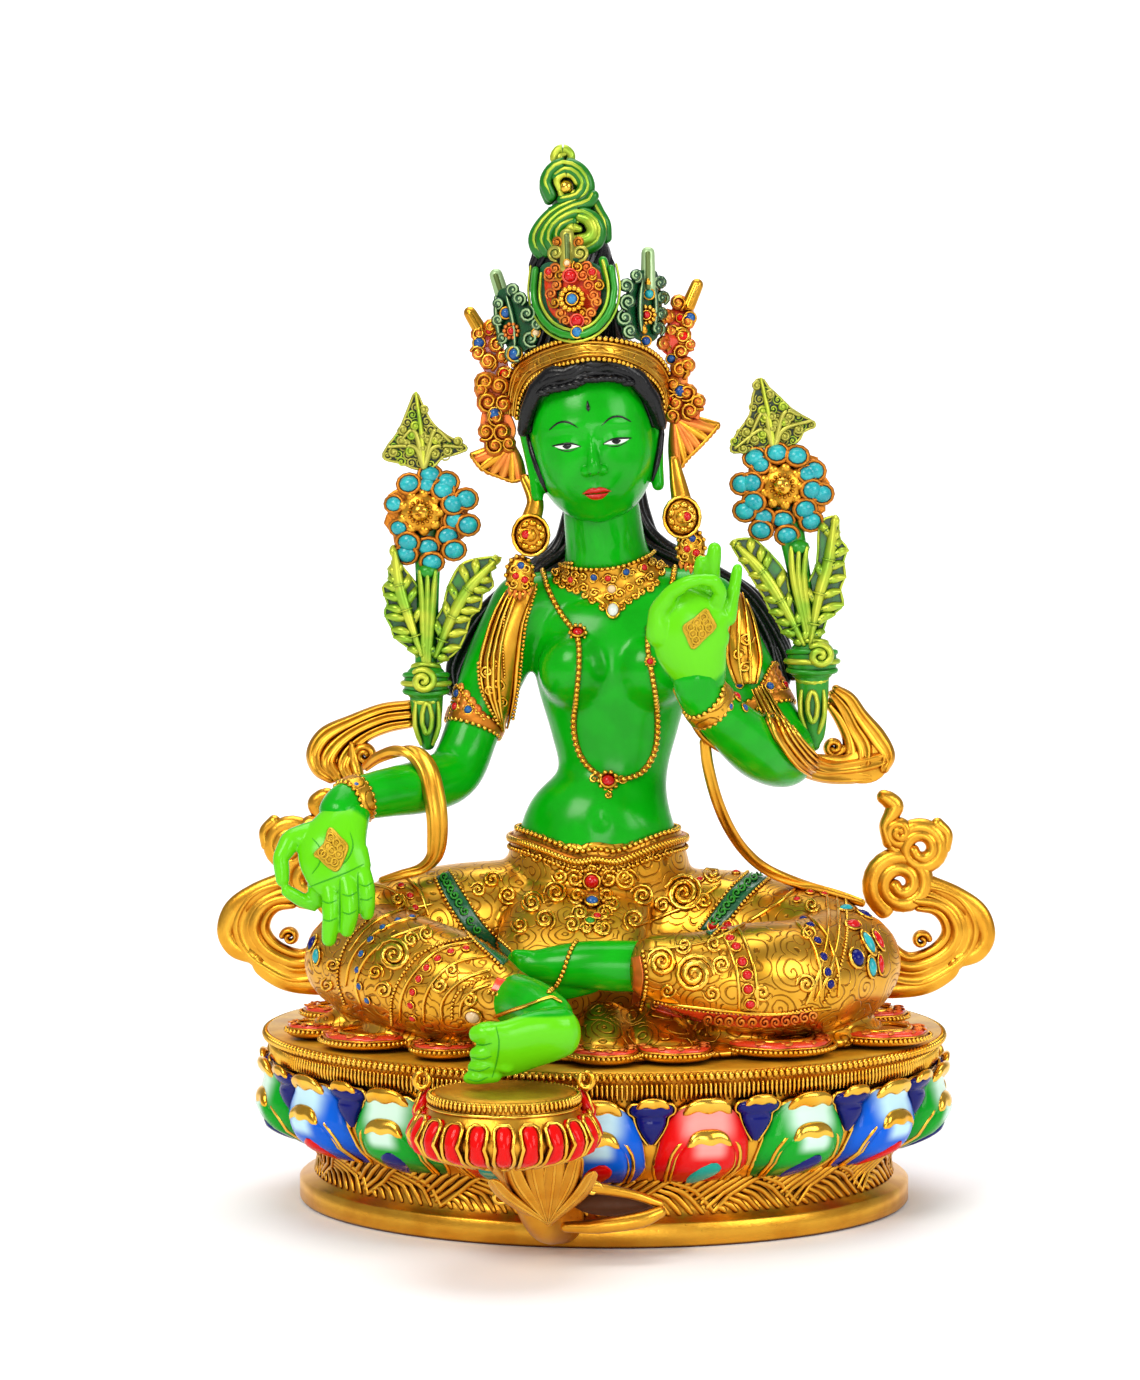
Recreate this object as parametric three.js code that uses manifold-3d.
// A seated Tara figure on a lotus plinth: cast copper, gilded and painted.
// Her right foot rests on a small lotus in front, a lotus spray rises at each shoulder,
// and sash loops stand out beside her elbows and knees.
// Millimetres, +Z up, the front faces -Y. The origin is the centre of the plinth's underside.
import * as THREE from "three";
import { mergeVertices } from "three/addons/utils/BufferGeometryUtils.js";
import Module from "manifold-3d";

const wasm = await Module();
wasm.setup();

// Plinth
const PLINTH_WIDTH = 215; // across the beaded rim
const PLINTH_DEPTH = 160; // front to back across the beaded rim
const PLINTH_HEIGHT = 54;
const FOOT_HEIGHT = 7.5; // plain band at the bottom
const FOOT_INSET = 11.5; // how far the foot band stands in from the rim
const WAIST_INSET = 17; // the engraved hollow under the petals
const PETALS_BOTTOM = 20;
const PETALS_TOP = 44;
const PETAL_OVERHANG = 3.5; // how far the petals stand out past the rim
const PETAL_COUNT = 18;
const PETAL_GROOVE = 5; // depth of the valley between two petals
const RIM_HEIGHT = 3.5;

// Footrest lotus, on the plinth's front
const FOOTREST_X = -26;
const FOOTREST_WIDTH = 44;
const FOOTREST_TOP_DROP = 2; // below the plinth's top
const FOOTREST_HEIGHT = 20;
const FOOTREST_REACH = 19; // its centre, forward of the plinth's rim
const FOOTREST_PETALS = 20;

// Figure, drawn at 276 mm from the seat to the tip of the hair knot
const FIGURE_HEIGHT = 276;
const DRAWN_HEIGHT = 276;
const K = FIGURE_HEIGHT / DRAWN_HEIGHT;
const SEAT_GAP = 0.3; // between the plinth's top and what stands on it
const FIT_GAP = 0.4; // between the figure and the pieces soldered to it

const ROOM = 600;
const MERGE = 0.35; // how far joined surfaces may move when their small facets are merged
const SIDE = new THREE.Vector3(1, 0, 0);
const FRONT = new THREE.Vector3(0, -1, 0);
const SEAT = PLINTH_HEIGHT + SEAT_GAP;

// A point of the drawn figure, measured from the middle of its seat.
function at(x, y, z) {
  return new THREE.Vector3(x * K, y * K, SEAT + z * K);
}

// A closed solid from a three.js geometry, with its faces pointing out.
function solid(geometry) {
  const bare = geometry.clone();
  bare.deleteAttribute("normal");
  bare.deleteAttribute("uv");
  const merged = mergeVertices(bare, 1e-4);
  const corners = merged.attributes.position.array;
  const faces = [];
  let sixVolumes = 0;
  const [a, b, c] = [new THREE.Vector3(), new THREE.Vector3(), new THREE.Vector3()];
  for (let i = 0; i < merged.index.count; i += 3) {
    const [p, q, r] = [0, 1, 2].map((k) => merged.index.getX(i + k));
    if (p === q || q === r || r === p) continue;
    faces.push(p, q, r);
    a.fromArray(corners, 3 * p);
    b.fromArray(corners, 3 * q);
    c.fromArray(corners, 3 * r);
    sixVolumes += a.dot(b.cross(c));
  }
  if (sixVolumes < 0) faces.reverse();
  return new wasm.Manifold(
    new wasm.Mesh({
      numProp: 3,
      vertProperties: new Float32Array(corners),
      triVerts: new Uint32Array(faces),
    }),
  );
}

function joined(pieces) {
  return wasm.Manifold.union(pieces);
}

// A big block with its top face at a height, to cut things off flat.
function ground(top, front = -ROOM / 2) {
  const block = new THREE.BoxGeometry(ROOM, ROOM, ROOM);
  return solid(block.translate(0, front + ROOM / 2, top - ROOM / 2));
}

// The biggest body of a solid, with any space shut inside it filled.
function biggest(whole) {
  return whole.decompose().sort((p, q) => q.volume() - p.volume())[0];
}

// Small facets merged away. The merge can leave slivers of no thickness, which go with it.
function merged(piece) {
  return biggest(piece.simplify(MERGE));
}

function mesh(name, piece, colour, roughness, metalness) {
  const made = piece.getMesh();
  const geometry = new THREE.BufferGeometry();
  geometry.setAttribute("position", new THREE.BufferAttribute(made.vertProperties, 3));
  geometry.setIndex(new THREE.BufferAttribute(made.triVerts, 1));
  geometry.computeVertexNormals();
  const finish = new THREE.MeshStandardMaterial({ color: colour, roughness, metalness });
  const shown = new THREE.Mesh(geometry, finish);
  shown.name = name;
  return shown;
}

// A rounded bar bent along a smooth line. Each station is [x, y, z, half width, half thickness],
// and the half width lies along the direction `wide`. Every half size grows by `grow`.
function limb(stations, { around = 10, along = 8, cap = 2, wide = SIDE, grow = 0 } = {}) {
  const spine = new THREE.CatmullRomCurve3(stations.map(([x, y, z]) => at(x, y, z)));
  const sizes = new THREE.CatmullRomCurve3(
    stations.map(([, , , w, t = w]) => new THREE.Vector3(w * K + grow, t * K + grow, 0)),
  );
  const length = 2;
  const bar = new THREE.CapsuleGeometry(1, length, cap, around, along);
  const corner = bar.attributes.position;
  const local = new THREE.Vector3();
  for (let i = 0; i < corner.count; i++) {
    local.fromBufferAttribute(corner, i);
    const t = THREE.MathUtils.clamp(local.y / length + 0.5, 0, 1);
    const past = local.y - (t - 0.5) * length;
    const tangent = spine.getTangent(t);
    const across = wide.clone().addScaledVector(tangent, -wide.dot(tangent)).normalize();
    const through = tangent.clone().cross(across);
    const { x: halfWidth, y: halfThickness } = sizes.getPoint(t);
    const place = spine
      .getPoint(t)
      .addScaledVector(tangent, past * Math.min(halfWidth, halfThickness))
      .addScaledVector(across, local.x * halfWidth)
      .addScaledVector(through, local.z * halfThickness);
    corner.setXYZ(i, place.x, place.y, place.z);
  }
  return solid(bar);
}

// An egg with its middle at a drawn point.
function egg([x, y, z], [rx, ry, rz], { around = 8, rows = 5, grow = 0 } = {}) {
  const ball = new THREE.SphereGeometry(1, around, rows)
    .rotateX(Math.PI / 2)
    .scale(rx * K + grow, ry * K + grow, rz * K + grow);
  const middle = at(x, y, z);
  return solid(ball.translate(middle.x, middle.y, middle.z));
}

// A flat plate cut to an outline in the X-Z plane, its face turned to the front.
function plate(outline, y, thickness) {
  const slab = new THREE.ExtrudeGeometry(outline, {
    depth: thickness * K,
    bevelEnabled: false,
    curveSegments: 1,
  });
  slab.rotateX(Math.PI / 2);
  slab.translate(0, (y + thickness / 2) * K, 0);
  return solid(slab);
}

// An outline through drawn (x, z) points, rounded by a spline.
function outlineThrough(points, divisions) {
  const line = new THREE.CatmullRomCurve3(
    points.map(([x, z]) => at(x, 0, z)),
    true,
  );
  return new THREE.Shape(
    line.getPoints(divisions).slice(0, divisions).map((p) => new THREE.Vector2(p.x, p.z)),
  );
}

// Turns a ring of a lathe into an oval and cuts valleys between its petals.
function petalLathe(profile, count, groove, perPetal, depthRatio) {
  const lathe = new THREE.LatheGeometry(
    profile.map(([radius, z]) => new THREE.Vector2(radius, z)),
    count * perPetal,
    Math.PI / count,
  );
  lathe.rotateX(Math.PI / 2);
  const corner = lathe.attributes.position;
  const spread = evenAngles(depthRatio);
  const [low, high] = [groove.bottom, groove.top];
  for (let i = 0; i < corner.count; i++) {
    const [x, y, z] = [corner.getX(i), corner.getY(i), corner.getZ(i)];
    const radius = Math.hypot(x, y);
    if (radius < 1e-6) continue;
    const turn = Math.atan2(x, -y) / (2 * Math.PI);
    const phase = Math.abs(Math.cos(Math.PI * count * turn));
    const inBand = z > low && z < high ? Math.sin((Math.PI * (z - low)) / (high - low)) : 0;
    const cut = groove.depth * inBand * (1 - Math.sqrt(phase));
    const angle = spread(turn);
    corner.setXYZ(
      i,
      (radius - cut) * Math.sin(angle),
      -(radius - cut) * Math.cos(angle) * depthRatio,
      z,
    );
  }
  return solid(lathe);
}

// Gives the oval's own angle for each share of the way round it, so that copies stand evenly.
function evenAngles(depthRatio) {
  const STEPS = 720;
  const run = [0];
  for (let i = 0; i < STEPS; i++) {
    const angle = (2 * Math.PI * (i + 0.5)) / STEPS;
    run.push(run[i] + Math.hypot(Math.cos(angle), depthRatio * Math.sin(angle)));
  }
  return (turn) => {
    const wanted = (turn - Math.floor(turn)) * run[STEPS];
    let i = 0;
    while (i < STEPS - 1 && run[i + 1] < wanted) i++;
    const share = (wanted - run[i]) / (run[i + 1] - run[i]);
    return (2 * Math.PI * (i + share)) / STEPS;
  };
}

function lotusPlinth() {
  const rim = PLINTH_WIDTH / 2;
  const ratio = PLINTH_DEPTH / PLINTH_WIDTH;
  const foot = rim - FOOT_INSET;
  const waist = rim - WAIST_INSET;
  const belly = rim + PETAL_OVERHANG;
  const rimBottom = PLINTH_HEIGHT - RIM_HEIGHT;
  const middle = (PETALS_BOTTOM + PETALS_TOP) / 2;
  const profile = [
    [0, 0],
    [foot, 0],
    [foot, FOOT_HEIGHT],
    [waist, FOOT_HEIGHT + 1.5],
    [waist - 1, (FOOT_HEIGHT + PETALS_BOTTOM) / 2 + 1],
    [waist + 3, PETALS_BOTTOM],
    [belly - 3, middle - 6],
    [belly, middle],
    [belly - 5, PETALS_TOP],
    [rim - 4, rimBottom],
    [rim, rimBottom + 1],
    [rim - 1, PLINTH_HEIGHT],
    [0, PLINTH_HEIGHT],
  ];
  const groove = { bottom: PETALS_BOTTOM - 2, top: PETALS_TOP + 2, depth: PETAL_GROOVE };
  return petalLathe(profile, PETAL_COUNT, groove, 3, ratio);
}

const FOOTREST_Y = -PLINTH_DEPTH / 2 - FOOTREST_REACH;
const FOOTREST_TOP = PLINTH_HEIGHT - FOOTREST_TOP_DROP;

function footrestLotus() {
  const radius = FOOTREST_WIDTH / 2;
  const top = FOOTREST_HEIGHT;
  const profile = [
    [0, 0],
    [radius * 0.55, 0],
    [radius * 1.2, 4],
    [radius * 1.3, 9],
    [radius, 16],
    [radius, top],
    [0, top],
  ];
  const groove = { bottom: 1, top: 16, depth: 2.2 };
  const FOOTREST_SQUASH = 0.86;
  const cup = petalLathe(profile, FOOTREST_PETALS, groove, 2, FOOTREST_SQUASH);
  return cup.translate([FOOTREST_X, FOOTREST_Y, FOOTREST_TOP - top]);
}

// The leafy stem that carries the footrest, from the foot band up to the small lotus.
function footrestStem() {
  const front = -PLINTH_DEPTH / 2;
  const z = FOOTREST_TOP - FOOTREST_HEIGHT;
  const line = new THREE.CatmullRomCurve3([
    new THREE.Vector3(FOOTREST_X + 14, front + FOOT_INSET, FOOT_HEIGHT + 1),
    new THREE.Vector3(FOOTREST_X + 9, front - FOOTREST_REACH * 0.1, FOOT_HEIGHT + 5),
    new THREE.Vector3(FOOTREST_X + 4, front - FOOTREST_REACH * 0.55, z - 3),
    new THREE.Vector3(FOOTREST_X, front - FOOTREST_REACH * 0.9, z + 3),
  ]);
  const section = new THREE.Shape().absellipse(0, 0, 6, 9, 0, 2 * Math.PI);
  const stem = new THREE.ExtrudeGeometry(section, {
    steps: 5,
    curveSegments: 4,
    extrudePath: line,
  });
  return solid(stem);
}

// Torso and neck, from the seat up to under the chin, with the belt lying on the hips.
function torso(grow) {
  const trunk = limb(
    [
      [0, 13, 8, 42, 30],
      [-1, 11, 26, 39, 29],
      [-2, 7, 45, 31, 24],
      [-2, 4, 58, 27.5, 21],
      [0, 5, 68, 23, 17.5],
      [2.5, 7, 79, 17.5, 14],
      [3, 7, 92, 20, 15],
      [3, 6, 108, 25, 17],
      [3.5, 7, 122, 27.5, 16.5],
      [3.5, 9, 133, 27, 13],
      [2, 9, 141, 17, 11],
      [0.5, 7, 148, 11.5, 11],
      [-1, 4, 162, 11, 11],
    ],
    { around: 12, along: 10, cap: 1, grow },
  );
  const belt = new THREE.TorusGeometry(1, 0.1, 4, 12)
    .scale(28.5 * K + grow, 22.5 * K + grow, 26 * K + grow)
    .rotateX(-0.12)
    .translate(-2 * K, 4 * K, SEAT + 58 * K);
  const bust = [-1, 1].map((side) =>
    egg([3 + side * 11.5, -6, 114], [10.5, 9, 10.5], { around: 7, grow }),
  );
  return [trunk, solid(belt), ...bust];
}

// Cloth drawn over the shoulders, and the shawl's ends: each passes over a forearm,
// swings out in a broad loop beside the elbow, and hangs down to the thigh.
function sashes(grow) {
  const loop = { around: 4, along: 8, cap: 1, wide: FRONT, grow };
  const strap = { around: 4, along: 6, cap: 1, grow };
  const drape = { around: 4, along: 3, cap: 1, grow };
  return [
    limb([[-22, 0, 140, 6, 3], [-27, -5, 126, 7, 3.5], [-25, -3, 106, 3.5, 2.5]], drape),
    limb([[29, 0, 140, 6, 3], [35, -4, 126, 7, 3.5], [39, 0, 108, 4, 2.5]], drape),
    limb(
      [
        [-46, 2, 101, 2, 5],
        [-68, 4, 102, 2.2, 6.5],
        [-84, 4, 95, 2.5, 9],
        [-90, 2, 86, 2.5, 9],
        [-80, -6, 80, 2.5, 9],
        [-70, -24, 78, 2.2, 5],
      ],
      loop,
    ),
    limb(
      [
        [-60, -7, 85, 6.5, 2.5],
        [-56, -19, 87, 7, 2.5],
        [-53, -26, 76, 5.5, 2.2],
        [-51.5, -27, 64, 4.5, 2.5],
        [-53, -26, 51, 5, 2.6],
        [-62, -28, 44, 6, 2.5],
      ],
      strap,
    ),
    limb(
      [
        [41, -36, 108, 2.2, 5],
        [50, -32, 95, 2.2, 6],
        [62, -20, 82, 2.5, 6.5],
        [77, -6, 79, 2.5, 8],
        [88, 0, 84, 2.5, 9],
        [85, 3, 96, 2.5, 9.5],
        [71, 4, 106, 2.2, 8],
        [57, 4, 106, 2.2, 5],
      ],
      { ...loop, along: 9 },
    ),
    limb(
      [
        [32, -36, 98, 3, 2.2],
        [34, -32, 86, 3.2, 2.2],
        [38, -24, 72, 3.4, 2.2],
        [45, -16, 60, 3.4, 2.4],
        [56, -14, 51, 4, 2.4],
        [74, -18, 43, 4.5, 2.4],
      ],
      strap,
    ),
  ];
}

// The sash end that curls up behind the knee: an open loop and, on her left, two spirals.
function scroll(side, grow) {
  const y = 12;
  const ring = (x, z, radius, bar, from, to, along) => {
    const turns = [];
    const STEPS = 6;
    for (let i = 0; i <= STEPS; i++) {
      const angle = THREE.MathUtils.degToRad(from + ((to - from) * i) / STEPS);
      const [dx, dz] = [radius * Math.cos(angle), radius * Math.sin(angle)];
      turns.push([side * (x + dx), y, z + dz, 2.6, bar]);
    }
    return limb(turns, { around: 4, along, cap: 1, wide: FRONT, grow });
  };
  const stub = { around: 4, along: 2, cap: 1, grow };
  return [
    ring(102, 29, 15.5, 7.5, 135, -125, 10),
    ring(92, 44, 7.5, 4.5, -40, 215, 7),
    ring(100.5, 56, 5, 4, -100, 180, 6),
    limb([[side * 95, y, 60, 4, 2.6], [side * 91, y, 66, 3.4, 2.6], [side * 88.5, y, 70, 2]], stub),
    limb([[side * 66, 8, 6, 2.6, 5], [side * 84, y, 10, 2.6, 6], [side * 96, y, 14, 2.6, 7]], {
      ...stub,
      wide: FRONT,
    }),
  ];
}

// Her right arm reaches down over the knee, and her left bends up in front of the chest.
function arms(grow) {
  const shape = { around: 8, along: 8, cap: 1, grow };
  const lowered = limb(
    [
      [-25, 8, 131, 11.5],
      [-34, 6, 113, 10.5],
      [-41, 3, 93, 9],
      [-46, -3, 80, 9.2],
      [-55, -14, 77, 8.8],
      [-66, -27, 76, 8],
      [-77, -38, 74, 7],
    ],
    shape,
  );
  const raised = limb(
    [
      [32, 8, 131, 11.5],
      [43, 6, 113, 10],
      [51, 2, 98, 9.5],
      [57, -7, 86, 9.5],
      [49, -22, 89, 10],
      [39, -36, 98, 8.5],
      [30, -45, 109, 7],
    ],
    shape,
  );
  return [lowered, raised];
}

// Both hands show the palm. Thumb and one finger meet in a ring, and the others are straight.
function hands(grow) {
  const shape = { around: 5, along: 2, cap: 1, grow };
  const palm = { around: 7, along: 2, cap: 1, grow };
  const finger = 2.5;
  return [
    limb([[-79, -42, 72, 7.5, 4.5], [-80, -48, 62, 10, 4.5], [-78, -51, 54, 9.5, 3.5]], palm),
    limb([[-84, -51, 54, finger], [-82.5, -54, 44, finger], [-81, -55, 35.5, finger]], shape),
    limb([[-77, -51, 54, finger], [-75.5, -54, 46, finger], [-75, -56, 38, finger]], shape),
    limb([[-71, -50, 56, finger], [-69.5, -53, 49, finger], [-68.5, -54, 43, finger]], shape),
    limb([[-86, -50, 50, finger], [-88.5, -51, 44.5, finger], [-94.5, -52, 49, finger]], shape),
    limb([[-86, -47, 66, 3.4], [-94.5, -50, 61, 3], [-95.5, -52, 51, 2.6]], shape),
    limb([[30, -46, 109, 7, 5], [27.5, -50, 118, 10.5, 4.8], [30, -51, 130, 11, 4]], palm),
    limb([[37.5, -50.5, 129, finger], [40.5, -50, 137, finger], [41.5, -50, 144, finger]], shape),
    limb([[33.5, -49, 134, finger], [33, -49, 142, finger], [33.5, -49, 150, finger]], shape),
    limb([[28, -49, 134, finger], [28, -49, 140, finger], [29, -49, 147, finger]], shape),
    limb([[36, -52, 132, finger], [34, -55, 140, finger], [27.5, -55, 141, finger]], shape),
    limb([[18, -51, 124, 3.4], [18, -54, 134, 3], [26, -55, 141, 2.4]], shape),
  ];
}

function legs(grow) {
  const thigh = { around: 8, along: 4, cap: 1, grow };
  const shin = { around: 8, along: 5, cap: 2, grow };
  const thighs = [-1, 1].map((side) =>
    limb(
      [
        [side * 14, 10, 24, 23],
        [side * 34, 4, 27, 22.5],
        [side * 54, -6, 27, 21],
        [side * 71, -20, 25, 18],
      ],
      thigh,
    ),
  );
  const right = limb(
    [
      [-71, -24, 24, 18],
      [-58, -42, 23, 17.5],
      [-44, -54, 21.5, 16],
      [-31, -64, 20, 13],
      [-22, -71, 18.5, 10],
    ],
    shin,
  );
  const left = limb(
    [
      [72, -24, 23, 18],
      [60, -40, 22, 17.5],
      [44, -49, 23, 16.5],
      [28, -52, 25, 14.5],
      [15, -52, 27, 11],
    ],
    shin,
  );
  return [...thighs, right, left];
}

// Her left foot lies folded in her lap. Her right foot stands on the small lotus, sole forward.
function feet(grow) {
  const shape = { around: 7, along: 3, cap: 1, wide: new THREE.Vector3(0.2, -0.3, 1), grow };
  const folded = limb(
    [
      [14, -52, 27, 7.5, 6.5],
      [4, -51, 26.5, 7.8, 6.5],
      [-10, -50, 26.5, 7, 5],
      [-22, -50, 28, 5, 3.5],
    ],
    shape,
  );
  const resting = limb(
    [
      [-9, -89, 17, 6, 6.5],
      [-17, -92, 13, 7.4, 5.5],
      [-26, -94, 8.5, 8.8, 4.6],
      [-33.5, -95, 5.5, 9.2, 3.4],
    ],
    shape,
  );
  const ankle = limb([[-22, -70, 19, 8.5], [-17, -80, 19, 8], [-13, -88, 17.5, 7]], shape);
  return [folded, resting, ankle];
}

// The skirt's hem, spread over the plinth in scalloped lobes.
function hem(grow) {
  const LOBES = 11;
  const PER_LOBE = 3;
  const line = [];
  for (let i = 0; i < LOBES * PER_LOBE; i++) {
    const angle = (2 * Math.PI * i) / (LOBES * PER_LOBE);
    const swell = 0.97 + 0.08 * Math.abs(Math.sin((LOBES * angle) / 2));
    const [rx, ry] = [86 * swell * K + grow, 62 * swell * K + grow];
    line.push(new THREE.Vector2(rx * Math.sin(angle), -3 * K - ry * Math.cos(angle)));
  }
  const cloth = new THREE.ExtrudeGeometry(new THREE.Shape(line), {
    depth: 3 * K,
    bevelEnabled: true,
    bevelSegments: 1,
    bevelSize: 2.5 * K,
    bevelThickness: 2.5 * K + grow,
    bevelOffset: -2.5 * K,
    curveSegments: 1,
  });
  return solid(cloth.translate(0, 0, SEAT));
}

// Head: an egg narrowed to the chin, with ears and nose, leaning a little to her right.
const HEAD = { x: -3.5, y: -2, z: 185, halfWidth: 19, halfDepth: 21.5, halfHeight: 27, lean: -0.1 };

function head(grow) {
  const ball = new THREE.SphereGeometry(1, 12, 9).rotateX(Math.PI / 2);
  const corner = ball.attributes.position;
  for (let i = 0; i < corner.count; i++) {
    const [x, y, z] = [corner.getX(i), corner.getY(i), corner.getZ(i)];
    const jaw = z < 0 ? 1 - 0.3 * Math.pow(-z, 1.8) : 1;
    const flatFace = y < -0.55 ? -0.55 + (y + 0.55) * 0.7 : y;
    corner.setXYZ(
      i,
      x * jaw * (HEAD.halfWidth * K + grow),
      flatFace * jaw * (HEAD.halfDepth * K + grow),
      z * (HEAD.halfHeight * K + grow),
    );
  }
  const middle = at(HEAD.x, HEAD.y, HEAD.z);
  ball.rotateY(HEAD.lean).translate(middle.x, middle.y, middle.z);
  const ear = { around: 5, along: 3, cap: 1, wide: FRONT, grow };
  const nose = { around: 5, along: 2, cap: 1, grow };
  return [
    solid(ball),
    limb([[-22, 0, 192, 3.5, 2], [-22.8, 0, 181, 3.4, 2.2], [-21.6, -3, 168, 2.6, 2.2]], ear),
    limb([[15.2, 0, 194, 3.5, 2], [16.4, 0, 184, 3.4, 2.2], [16.6, -3, 170, 2.6, 2.2]], ear),
    limb([[-3, -18.5, 183, 1.5], [-2, -20.5, 174, 2.2, 2.4]], nose),
  ];
}

// The hair: a cap over the skull, a tall knot with wrapped locks above, and locks down the back.
function hair(grow) {
  const lock = { around: 5, along: 4, cap: 1, grow };
  return [
    limb(
      [
        [-6, 1, 200, 20, 20],
        [-8, 2, 212, 16.5, 16],
        [-9.5, 2, 226, 12.5, 12],
        [-10, 2, 240, 12.8, 11],
        [-10.7, 2, 249, 9, 8],
        [-11.5, 2, 254, 5.5, 5],
        [-11.5, 2, 261, 8, 6.5],
        [-12, 2, 267, 6, 5],
        [-12.5, 2, 272.5, 3.2, 3],
      ],
      { around: 8, along: 11, cap: 1, grow },
    ),
    limb([[-20, 12, 178, 6], [-21, 14, 158, 7], [-29, 17, 136, 8], [-38, 15, 112, 4]], lock),
    limb([[15, 12, 178, 6], [21, 14, 158, 7], [35, 17, 136, 8], [48, 14, 112, 4]], lock),
    limb([[-4, 16, 190, 15, 8], [0, 19, 165, 17, 7], [3, 20, 135, 20, 6]], lock),
  ];
}

// Round pendants hanging from the ears to the shoulders.
function earrings(grow) {
  const shape = { around: 6, along: 3, cap: 1, grow };
  return [
    limb([[-21.6, -3.5, 170, 2.4], [-23.5, -9, 157, 5.8, 2.8], [-26, -8, 146, 4.5, 2.5]], shape),
    limb([[16.6, -3.5, 172, 2.4], [23, -9, 160, 6.2, 2.8], [29, -8, 148, 4.5, 2.5]], shape),
  ];
}

// The whole casting, or the room it needs when `grow` is a clearance.
function figure(grow = 0) {
  const body = joined([
    ...torso(grow),
    ...arms(grow),
    ...hands(grow),
    ...sashes(grow),
    ...legs(grow),
    ...feet(grow),
    hem(grow),
    ...scroll(-1, grow),
    ...scroll(1, grow),
    ...head(grow),
    ...hair(grow),
    ...earrings(grow),
  ]);
  const overFootrest = ground(FOOTREST_TOP + SEAT_GAP);
  const overPlinth = ground(SEAT, -PLINTH_DEPTH / 2 - 1);
  return biggest(body.subtract(overFootrest).subtract(overPlinth));
}

// A crown leaf: a pointed shield with scalloped sides, standing on the band.
function crownLeaf([x, y, z], halfWidth, height, lean, turn) {
  const SCALLOPS = 2;
  const half = [];
  for (let i = 0; i <= SCALLOPS * 2; i++) {
    const t = i / (SCALLOPS * 2 + 1);
    const bump = i % 2 ? 1 : 0.82;
    half.push([halfWidth * bump * Math.sqrt(1 - Math.pow(t, 2.2)), height * t * 0.8]);
  }
  const right = [...half, [halfWidth * 0.16, height * 0.76], [halfWidth * 0.14, height]];
  const left = right.map(([w, h]) => [-w, h]).reverse();
  const shape = new THREE.Shape([...right, ...left].map(([w, h]) => new THREE.Vector2(w * K, h * K)));
  const thickness = 3 * K;
  const leaf = new THREE.ExtrudeGeometry(shape, { depth: thickness, bevelEnabled: false });
  leaf.translate(0, 0, -thickness / 2).rotateX(Math.PI / 2);
  const foot = at(x, y, z);
  return solid(leaf.rotateY(lean).rotateZ(turn).translate(foot.x, foot.y, foot.z));
}

// The crown: a band arched over the brow, five leaves, and a fan and ribbon at each ear.
function crown(cutter) {
  const band = limb(
    [
      [-25.5, 3, 184, 4, 2.5],
      [-26, -4, 194, 4, 2.5],
      [-20, -13, 205, 4, 2.5],
      [-6, -20, 211, 4, 2.5],
      [9, -14, 208, 4, 2.5],
      [18.5, -5, 199, 4, 2.5],
      [20.5, 3, 189, 4, 2.5],
    ],
    { around: 4, along: 9, cap: 1, wide: new THREE.Vector3(-0.1, -0.75, 0.65) },
  );
  const fan = { around: 4, along: 2, cap: 1 };
  const leaves = [
    crownLeaf([-8.5, -19.5, 211], 10.5, 35, -0.07, 0),
    crownLeaf([-22, -14, 205], 7.5, 31, -0.33, -0.5),
    crownLeaf([9, -14, 208], 7.5, 34, 0.18, 0.5),
    crownLeaf([-29.5, -5, 195], 6.5, 31, -0.32, -1.0),
    crownLeaf([21, -5, 198], 6.5, 36, 0.22, 1.0),
  ];
  const sides = [
    limb([[-28, 2, 196, 5, 2.5], [-30, 2, 186, 5.5, 2.5], [-29, 3, 176, 6, 3]], fan),
    limb([[22, 2, 198, 5, 2.5], [25, 2, 190, 5.5, 2.5], [25, 3, 182, 6, 3]], fan),
    limb([[-28, 4, 178, 3, 2], [-35, 4, 177, 4.5, 2], [-41, 4, 177, 1.2, 1.2]], fan),
    limb([[24, 4, 186, 3, 2], [30, 4, 186, 4.5, 2], [35.5, 4, 188, 1.2, 1.2]], fan),
  ];
  return biggest(joined([band, ...leaves, ...sides]).subtract(cutter));
}

// One broad leaf that bellies out on its way from the knot to its tip.
function leaf([x0, y, z0], [x1, z1], halfWidth) {
  const bow = Math.sign(x1 - x0) * 4;
  return limb(
    [
      [x0, y, z0 + 3, 2, 2],
      [x0 + (x1 - x0) * 0.4 + bow, y, z0 + (z1 - z0) * 0.35, halfWidth * 0.8, 2.4],
      [x0 + (x1 - x0) * 0.75 + bow, y, z0 + (z1 - z0) * 0.7, halfWidth, 2.6],
      [x1, y - 1, z1, 1.6, 1.6],
    ],
    { around: 6, along: 4, cap: 1 },
  );
}

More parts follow.
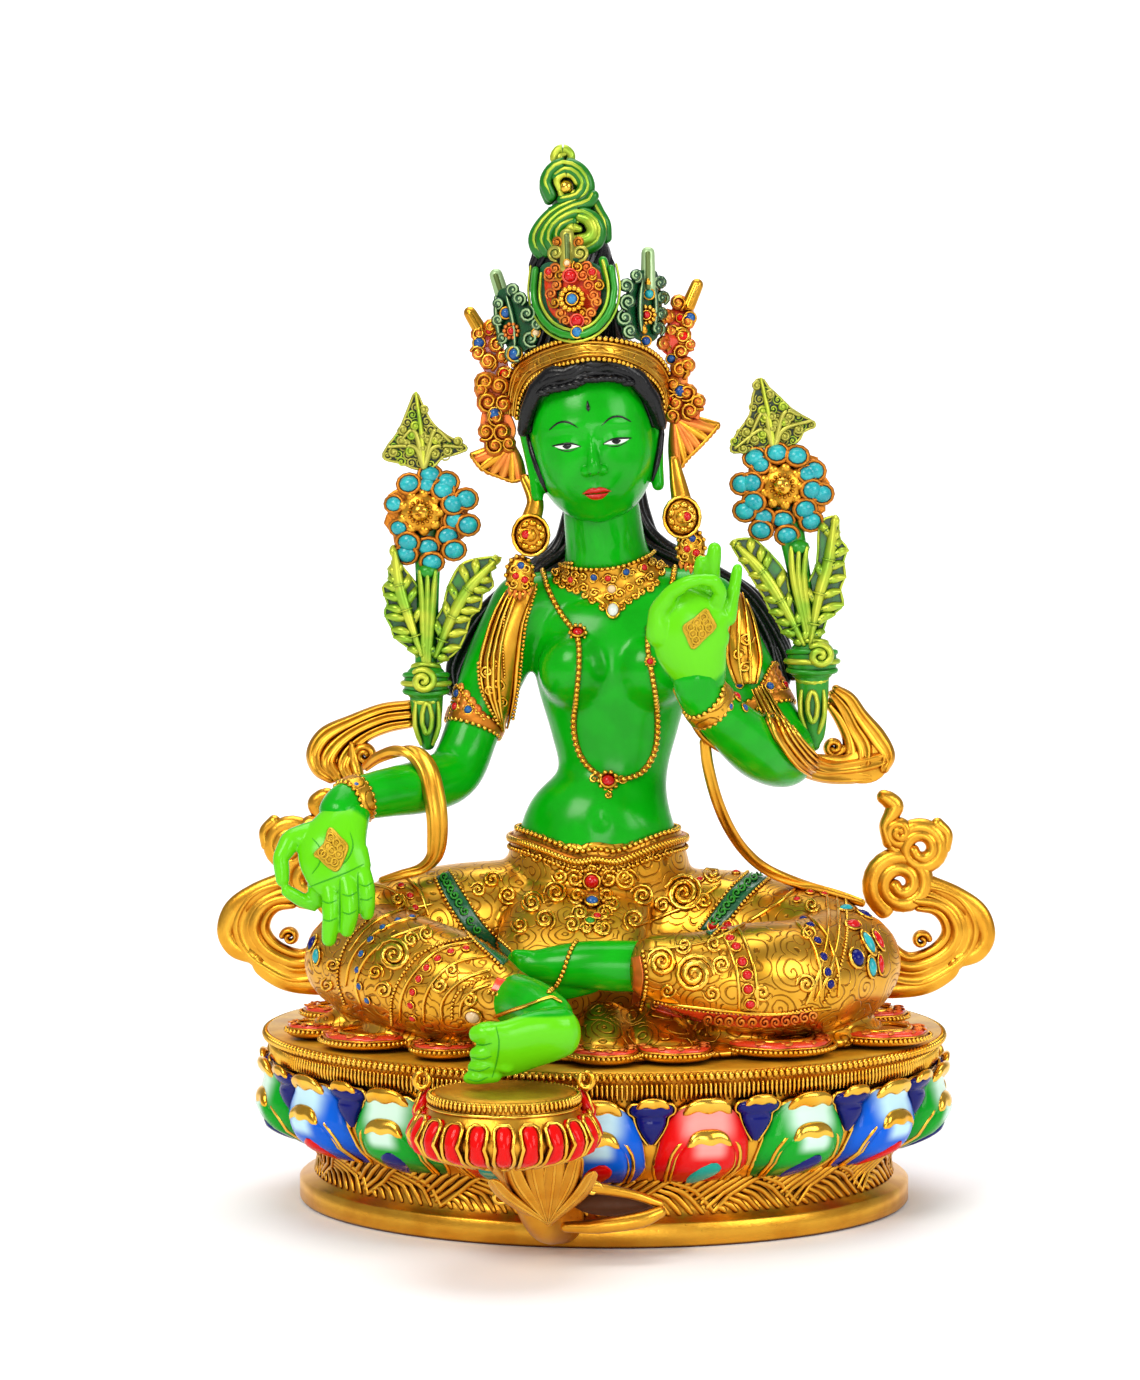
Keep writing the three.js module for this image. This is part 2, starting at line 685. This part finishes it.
// The scalloped edge of the ring of set stones round a flower.
function stoneRing([x, , z]) {
  const STONES = 10;
  const ring = [];
  for (let i = 0; i < STONES * 2; i++) {
    const angle = (Math.PI * i) / STONES;
    const reach = i % 2 ? 10 : 13;
    const rim = at(x + reach * Math.cos(angle), 0, z + reach * Math.sin(angle));
    ring.push(new THREE.Vector2(rim.x, rim.z));
  }
  return new THREE.Shape(ring);
}

// A lotus spray: stalk, knot, two leaves, a flower of set stones and a pointed finial.
function spray({ foot, knot, flower, finial, leafLeft, leafRight }, cutter) {
  const y = knot[1];
  const stalk = { around: 6, along: 2, cap: 1 };
  const pieces = [
    limb([[...foot, 2.6], [knot[0], y, knot[2] - 6, 4.5]], stalk),
    egg(knot, [7, 6, 7]),
    limb([[knot[0], y, knot[2], 4], [...flower, 5]], stalk),
    leaf(knot, leafLeft, 7),
    leaf(knot, leafRight, 7.5),
    egg([flower[0], y - 3, flower[2]], [6.2, 5.5, 6.2]),
    plate(stoneRing(flower), y, 6),
    plate(outlineThrough(finial, 12), y, 4),
  ];
  return biggest(joined(pieces).subtract(cutter));
}

const SPRAY_RIGHT = {
  foot: [-57, -2, 90],
  knot: [-57.5, -2, 104],
  flower: [-57.6, -2, 162],
  leafLeft: [-66, 146],
  leafRight: [-36, 145],
  finial: [[-58.5, 200], [-53, 188], [-46, 181], [-57, 173], [-70, 178], [-63, 187]],
};
const SPRAY_LEFT = {
  foot: [66, -2, 89],
  knot: [68, -2, 115],
  flower: [55.3, -2, 170],
  leafLeft: [43, 150],
  leafRight: [74, 155],
  finial: [[49, 205], [56, 194], [66, 189], [54, 181], [39, 181], [46, 191]],
};

const GILT = 0xd8992a;
const LEAF_GREEN = 0x9ab82c;
const room = figure(FIT_GAP);
const statue = new THREE.Group();
statue.name = "tara_statue";
const plinth = merged(joined([lotusPlinth(), footrestLotus(), footrestStem()]));
statue.add(mesh("lotus_plinth", plinth, GILT, 0.35, 0.9));
statue.add(mesh("tara_figure", merged(figure()), 0x12a318, 0.3, 0));
statue.add(mesh("crown", crown(room), 0xe08a2c, 0.4, 0.7));
statue.add(mesh("lotus_spray_right", spray(SPRAY_RIGHT, room), LEAF_GREEN, 0.4, 0.3));
statue.add(mesh("lotus_spray_left", spray(SPRAY_LEFT, room), LEAF_GREEN, 0.4, 0.3));

export default statue;
